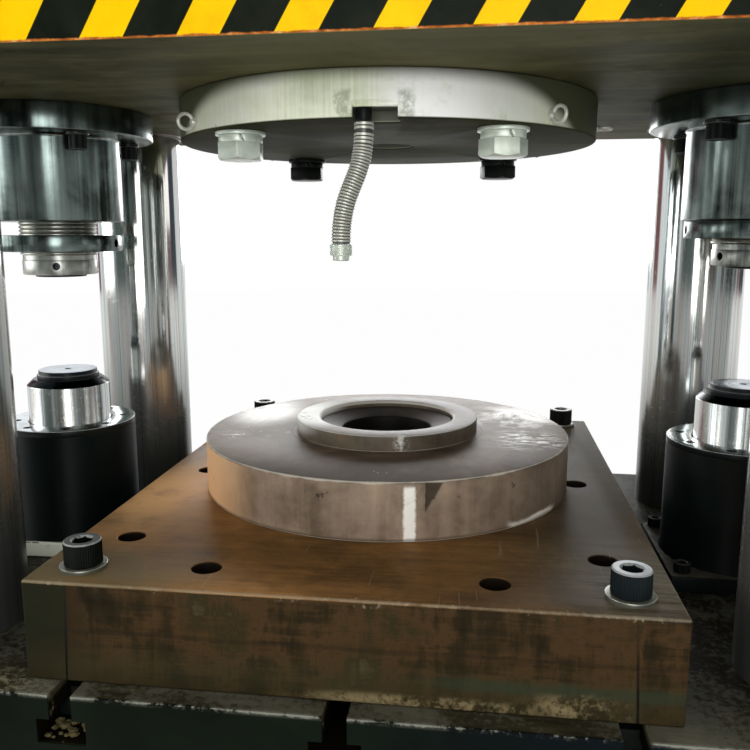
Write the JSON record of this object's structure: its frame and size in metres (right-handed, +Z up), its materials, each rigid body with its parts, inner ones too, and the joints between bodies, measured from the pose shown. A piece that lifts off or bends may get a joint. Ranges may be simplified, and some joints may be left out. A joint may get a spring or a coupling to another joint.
{
  "type": "hydraulic press",
  "caption": "Four-column hydraulic press with T-slotted table, die plate and round die, moving slide with round platen, and adjustable screw stops over buffer cylinders.",
  "frame": {"origin": "centre of the bed's footprint on the floor", "axes": "+Z up along the slide's travel, X from left to right across the press, +Y from front to rear"},
  "size_m": [1.44, 0.974, 3.0953],
  "materials": {
    "dark_green_paint": "old dark green machine paint",
    "bare_table_steel": "bare oily steel",
    "column_chrome": "hard chrome, polished",
    "rusty_plate_steel": "brown rusty rolled steel",
    "die_steel": "turned steel with stains",
    "platen_paint": "pale grey-green paint",
    "zinc_plate": "bright zinc plate",
    "black_oxide": "black oxide",
    "black_gloss_paint": "black gloss paint",
    "dark_turned_steel": "dark polished steel",
    "bronze": "cast bronze",
    "galvanised_strip": "galvanised steel strip"
  },
  "bodies": {
    "frame": {"bed": "dark_green_paint", "table": "bare_table_steel", "column_front_left": "column_chrome", "column_front_right": "column_chrome", "column_rear_left": "column_chrome", "column_rear_right": "column_chrome", "column_nut_front_left": "dark_turned_steel", "column_nut_front_right": "dark_turned_steel", "column_nut_rear_left": "dark_turned_steel", "column_nut_rear_right": "dark_turned_steel", "crown": "dark_green_paint", "main_cylinder": "dark_green_paint", "cylinder_nut": "dark_turned_steel", "cylinder_head": "dark_green_paint", "cylinder_gland": "dark_turned_steel", "die_plate": "rusty_plate_steel", "plate_screw_front_left": "black_oxide", "plate_screw_front_right": "black_oxide", "plate_screw_rear_left": "black_oxide", "plate_screw_rear_right": "black_oxide", "tee_nut_front_left": "dark_turned_steel", "tee_nut_front_right": "dark_turned_steel", "tee_nut_rear_left": "dark_turned_steel", "tee_nut_rear_right": "dark_turned_steel", "die_disc": "die_steel", "die_ring": "die_steel", "buffer_cylinder_left": "black_gloss_paint", "buffer_cylinder_right": "black_gloss_paint", "buffer_gland_left": "dark_turned_steel", "buffer_gland_right": "dark_turned_steel"},
    "slide": {"slide": "dark_green_paint", "guide_bush_front_left": "bronze", "guide_bush_front_right": "bronze", "guide_bush_rear_left": "bronze", "guide_bush_rear_right": "bronze", "ram": "column_chrome", "ram_flange": "dark_turned_steel", "platen": "platen_paint", "platen_bolt_front_left": "zinc_plate", "platen_bolt_front_right": "zinc_plate", "platen_bolt_rear_left": "zinc_plate", "platen_bolt_rear_right": "zinc_plate", "eyebolt_left": "galvanised_strip", "eyebolt_right": "galvanised_strip", "conduit_nipple": "dark_turned_steel", "conduit": "galvanised_strip", "conduit_connector": "dark_turned_steel", "stop_barrel_left": "dark_turned_steel", "stop_barrel_right": "dark_turned_steel"},
    "plunger_left": {"plunger_left": "column_chrome", "wear_pad_left": "zinc_plate"},
    "strike_pad_left": {"strike_pad_left": "zinc_plate"},
    "stop_screw_left": {"stop_screw_left": "dark_turned_steel"},
    "lock_nut_left": {"lock_nut_left": "dark_turned_steel"},
    "plunger_right": {"plunger_right": "column_chrome", "wear_pad_right": "zinc_plate"},
    "strike_pad_right": {"strike_pad_right": "zinc_plate"},
    "stop_screw_right": {"stop_screw_right": "dark_turned_steel"},
    "lock_nut_right": {"lock_nut_right": "dark_turned_steel"}
  },
  "joints": [
    {"name": "slide_travel", "type": "slide", "parent": "frame", "child": "slide", "axis": [0, 0, 1], "range_m": [-0.144, 0.3]},
    {"name": "plunger_left", "type": "slide", "parent": "frame", "child": "plunger_left", "axis": [0, 0, 1], "range_m": [-0.07, 0], "stiffness_N_per_m": 20000, "springref_m": 0.012},
    {"name": "stop_lift_left", "type": "slide", "parent": "slide", "child": "strike_pad_left", "axis": [0, 0, 1], "range_m": [-0.0121, 0.0121]},
    {"name": "stop_turn_left", "type": "hinge", "parent": "strike_pad_left", "child": "stop_screw_left", "pos_m": [-0.55, 0, 1.471], "axis": [0, 0, 1], "range_deg": [-720, 720]},
    {"name": "lock_nut_left", "type": "slide", "parent": "stop_screw_left", "child": "lock_nut_left", "axis": [0, 0, 1], "range_m": [-0.012, 0.008]},
    {"name": "plunger_right", "type": "slide", "parent": "frame", "child": "plunger_right", "axis": [0, 0, 1], "range_m": [-0.07, 0], "stiffness_N_per_m": 20000, "springref_m": 0.012},
    {"name": "stop_lift_right", "type": "slide", "parent": "slide", "child": "strike_pad_right", "axis": [0, 0, 1], "range_m": [-0.0121, 0.0001]},
    {"name": "stop_turn_right", "type": "hinge", "parent": "strike_pad_right", "child": "stop_screw_right", "pos_m": [0.55, 0, 1.471], "axis": [0, 0, 1], "range_deg": [-720, 0]},
    {"name": "lock_nut_right", "type": "slide", "parent": "stop_screw_right", "child": "lock_nut_right", "axis": [0, 0, 1], "range_m": [-0.0145, 0]}
  ],
  "couplings": [
    {"joint": "stop_lift_left", "follows": "stop_turn_left", "m_per_rad": 0.00095493},
    {"joint": "stop_lift_right", "follows": "stop_turn_right", "m_per_rad": 0.00095493}
  ]
}
